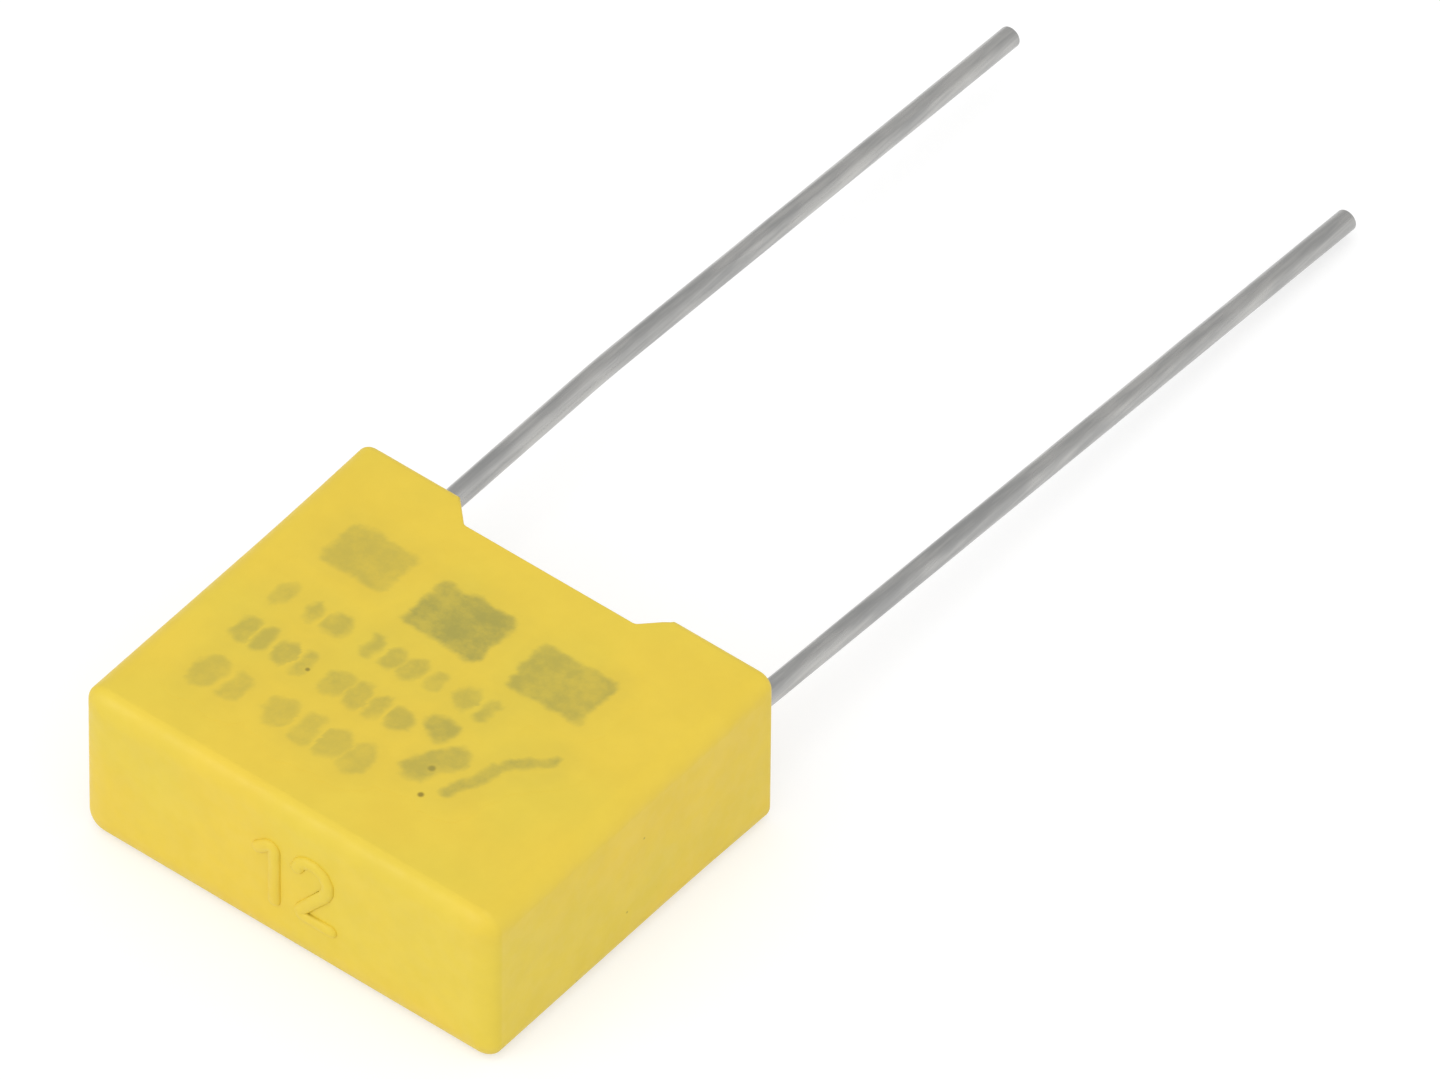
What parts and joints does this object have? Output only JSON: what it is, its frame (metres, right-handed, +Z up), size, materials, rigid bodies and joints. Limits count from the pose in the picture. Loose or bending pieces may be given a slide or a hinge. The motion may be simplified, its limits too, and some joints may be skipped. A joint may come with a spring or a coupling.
{
  "type": "film capacitor",
  "caption": "Box film capacitor: yellow moulded case filled with resin round a flattened film roll, with tinned wire leads for through-hole mounting.",
  "frame": {"origin": "centre of the wide face that the case lies on", "axes": "+X along the lead spacing, +Y the way the leads leave the case, +Z up from the wide face that it lies on"},
  "size_m": [0.013, 0.036, 0.005],
  "materials": {
    "case_plastic": "yellow moulded plastic, satin, with faded olive marks on one wide face",
    "resin": "cast pale resin, glossy",
    "film": "wound metallised film",
    "spray_metal": "sprayed metal, dull and grainy",
    "tinned_wire": "drawn wire, tinned, dull silver"
  },
  "bodies": {
    "root": {"case": "case_plastic", "potting_resin": "resin", "film_winding": "film", "end_spray_left": "spray_metal", "end_spray_right": "spray_metal", "lead_left": "tinned_wire", "lead_right": "tinned_wire"}
  },
  "joints": []
}
